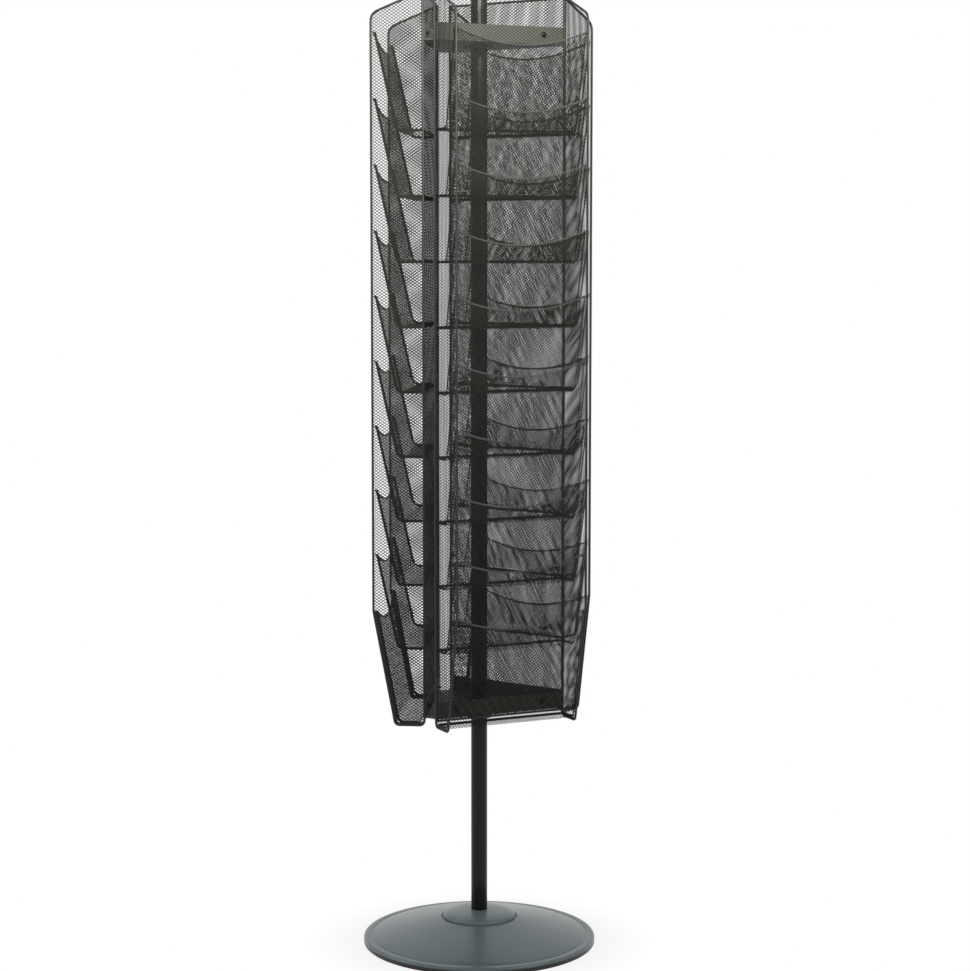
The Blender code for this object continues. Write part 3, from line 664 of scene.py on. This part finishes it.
def addTurned():
    sides = turned["sides"]
    low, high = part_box("pole")
    poleRadius = high.x
    outline = ring(poleRadius - turned["poleWall"], poleRadius, low.z, high.z, turned["poleEdge"])
    addPiece("pole_tube", spun(outline, sides, closed=True), poleBlack, "stand", ["pole"])
    low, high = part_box("pole_cap")
    turn = quarter(turned["crownSteps"])
    spigot = poleRadius - turned["spigotInset"]
    crown = turned["crown"]
    dome = np.stack([poleRadius * np.sin(turn), high.z - crown * (1 - np.cos(turn))], -1)
    outline = np.concatenate([dome, [(spigot, high.z - crown), (spigot, low.z), (0, low.z)]])
    addPiece("pole_cap_dome", spun(outline, sides), nylon, "stand", ["pole_cap"])
    bore = poleRadius + turned["play"]
    for name, finish, slot, edge in (
            ("stop_collar", poleBlack, "pole_black", turned["collarEdge"]),
            ("thrust_washer", nylon, "black_nylon", turned["washerEdge"])):
        low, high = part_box(name)
        outline = ring(bore, high.x, low.z, high.z, edge)
        addPiece(f"{name}_ring", spun(outline, sides, closed=True), finish, "stand", [name])
    for name in ("lower_bush", "upper_bush"):
        low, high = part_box(name)
        sleeve = bore + turned["sleeveWall"]
        flange = low.z + turned["flange"]
        edge, rim = turned["sleeveEdge"], turned["flangeEdge"]
        outline = [(bore, high.z), (sleeve - edge, high.z), (sleeve, high.z - edge), (sleeve, flange),
                   (high.x - rim, flange), (high.x, flange - rim), (high.x, low.z + rim),
                   (high.x - rim, low.z), (bore, low.z)]
        addPiece(f"{name}_sleeve", spun(outline, sides, closed=True), nylon, "rack", [name])


addBaseCover()
addTurned()
print("base, pole and bearings made")


# Screws

screw = dict(head=0.0095, headHeight=0.003, headSteps=18, sides=48, shank=0.0048, slotLength=0.0054,
             slotWidth=0.0011, slotDepth=0.0014, slotEnd=0.0004, slotFlank=0.0003)
screwPlaces = [(row, number) for row in ("lower", "upper") for number in (1, 2)]


def screwShape(tail):
    # a domed head turned round Z; a cross is sunk in it where either bar of the cross covers the point
    turn = quarter(screw["headSteps"])
    radius = screw["head"] / 2
    dome = np.stack([radius * np.sin(turn), screw["headHeight"] * np.cos(turn)], -1)
    shank = screw["shank"] / 2
    outline = np.concatenate([dome, [(shank, 0), (shank, -tail), (0, -tail)]])
    points, quads, tris = spun(outline, screw["sides"])

    def bar(along, across):
        ends = np.clip((screw["slotLength"] / 2 - np.abs(along)) / screw["slotEnd"], 0, 1)
        flanks = np.clip((screw["slotWidth"] / 2 - np.abs(across)) / screw["slotFlank"] + 0.5, 0, 1)
        return ends * flanks

    x, y, z = points.T
    sunk = np.maximum(bar(x, y), bar(y, x)) * (z > 0)
    points[:, 2] -= screw["slotDepth"] * sunk
    return points, quads, tris


def addScrews():
    for letter, turn in panelTurns.items():
        for row, number in screwPlaces:
            node = f"screw_{row}_{letter}{number}"
            low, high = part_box(f"screw_{row}_a{number}")
            points, quads, tris = screwShape(high.y - low.y - screw["headHeight"])
            laid = np.stack([points[:, 0], -points[:, 2], points[:, 1]], -1)
            laid += ((low.x + high.x) / 2, low.y + screw["headHeight"], (low.z + high.z) / 2)
            turnedScrew = turnedBy((laid, quads, tris), turn)
            addPiece(f"{node}_head", turnedScrew, poleBlack, "rack", [node])


addScrews()
print("screws made:", len(panelTurns) * len(screwPlaces))


# Solids that keep their CAD shape

keptSolids = dict(base_weight=iron, foot_ring=rubber, pole_plug=zinc, base_bolt=zinc, bolt_washer=zinc,
                  collar_screw=zinc, lower_bracket=bracketBlack, upper_bracket=bracketBlack)
for name, finish in keptSolids.items():
    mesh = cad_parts[name].data
    mesh.materials.clear()
    mesh.materials.append(finish)
print("solids refinished:", len(keptSolids))


# Studio

studio = dict(eyeHeight=1.188, distance=3.8654, sideways=0.0192, turn=25.4882, yaw=-0.1353, pitch=5.8015,
              lens=84.50, sensor=36.0, ambient=0.16, floorReach=6.0, floorDrop=0.0002, floorTone=0.70,
              floorShare=0.88, shadowFrom=0.2, shadowReach=0.30)
softboxes = dict(  # turn in degrees from the camera's side; aim is a height on the pole
    leftBox=dict(turn=-80, height=1.0, distance=2.3, size=(1.0, 2.0), power=17,
                 aim=0.5, spread=180, tint=(1, 1, 1)),
    rightBox=dict(turn=54, height=1.7, distance=2.3, size=(0.9, 1.1), power=19,
                  aim=1.0, spread=180, tint=(1, 1, 0.97)),
    topBox=dict(turn=8, height=2.0, distance=1.2, size=(1.1, 0.5), power=9.5,
                aim=1.48, spread=75, tint=(1, 1, 0.86)))


def addCamera():
    turn = math.radians(studio["turn"])
    eye = bpy.data.objects.new("photoEye", bpy.data.cameras.new("photoEye"))
    eye.data.lens = studio["lens"]
    eye.data.sensor_width = studio["sensor"]
    eye.location = (studio["sideways"] * math.cos(turn) - studio["distance"] * math.sin(turn),
                    -studio["sideways"] * math.sin(turn) - studio["distance"] * math.cos(turn),
                    studio["eyeHeight"])
    eye.rotation_euler = (math.radians(90 - studio["pitch"]), 0, -turn - math.radians(studio["yaw"]))
    bpy.context.scene.collection.objects.link(eye)
    bpy.context.scene.camera = eye


def addLamps():
    for name, box in softboxes.items():
        lamp = bpy.data.lights.new(name, "AREA")
        lamp.shape = "RECTANGLE"
        lamp.size, lamp.size_y = box["size"]
        lamp.energy = box["power"]
        lamp.color = box["tint"]
        lamp.spread = math.radians(box["spread"])
        obj = bpy.data.objects.new(name, lamp)
        angle = math.radians(box["turn"] - studio["turn"])
        away = box["distance"]
        obj.location = (away * math.sin(angle), -away * math.cos(angle), box["height"])
        sight = Vector((0, 0, box["aim"])) - obj.location
        obj.rotation_euler = sight.to_track_quat("-Z", "Y").to_euler()
        obj.visible_camera = False
        bpy.context.scene.collection.objects.link(obj)


def addSurroundings():
    world = bpy.data.worlds.new("studioAir")
    world.use_nodes = True
    bpy.context.scene.world = world
    air = Graph(world.node_tree)
    ground = world.node_tree.nodes["Background"]
    ground.inputs["Color"].default_value = shade(1.0, 1.0, 1.0)
    air.join(studio["ambient"] + (1 - studio["ambient"]) * air.seen(), ground.inputs["Strength"])


def addFloor():
    # pale floor: light falls on it plainly; looked at, it is mostly white, and wholly so away from the base
    reach, tone = studio["floorReach"], studio["floorTone"]
    mesh = bpy.data.meshes.new("studioFloor")
    mesh.from_pydata([(-reach, -reach, 0), (reach, -reach, 0), (reach, reach, 0), (-reach, reach, 0)],
                     [], [(0, 1, 2, 3)])
    floor = bpy.data.objects.new("studioFloor", mesh)
    floor.location.z = -studio["floorDrop"]
    bpy.context.scene.collection.objects.link(floor)
    material = bpy.data.materials.new("paleFloor")
    material.use_nodes = True
    mesh.materials.append(material)
    graph = Graph(material.node_tree)
    for node in list(material.node_tree.nodes):
        material.node_tree.nodes.remove(node)
    away = graph.add("ShaderNodeVectorMath", {"operation": "LENGTH"}, {0: graph.places()}, out="Value")
    far = graph.add("ShaderNodeMapRange", {}, {
        "Value": away, "From Min": studio["shadowFrom"], "From Max": studio["shadowReach"],
        "To Min": studio["floorShare"], "To Max": 1.0})
    matt = graph.add("ShaderNodeBsdfDiffuse", {}, {"Color": shade(tone, tone, tone)})
    glow = graph.add("ShaderNodeEmission", {}, {"Color": shade(1, 1, 1), "Strength": 1.0})
    mixed = graph.add("ShaderNodeMixShader", {}, {0: graph.seen() * far, 1: matt, 2: glow})
    output = material.node_tree.nodes.new("ShaderNodeOutputMaterial")
    graph.join(mixed, output.inputs["Surface"])


addCamera()
addLamps()
addSurroundings()
addFloor()
bpy.context.scene.view_settings.view_transform = "Standard"
print("studio made")
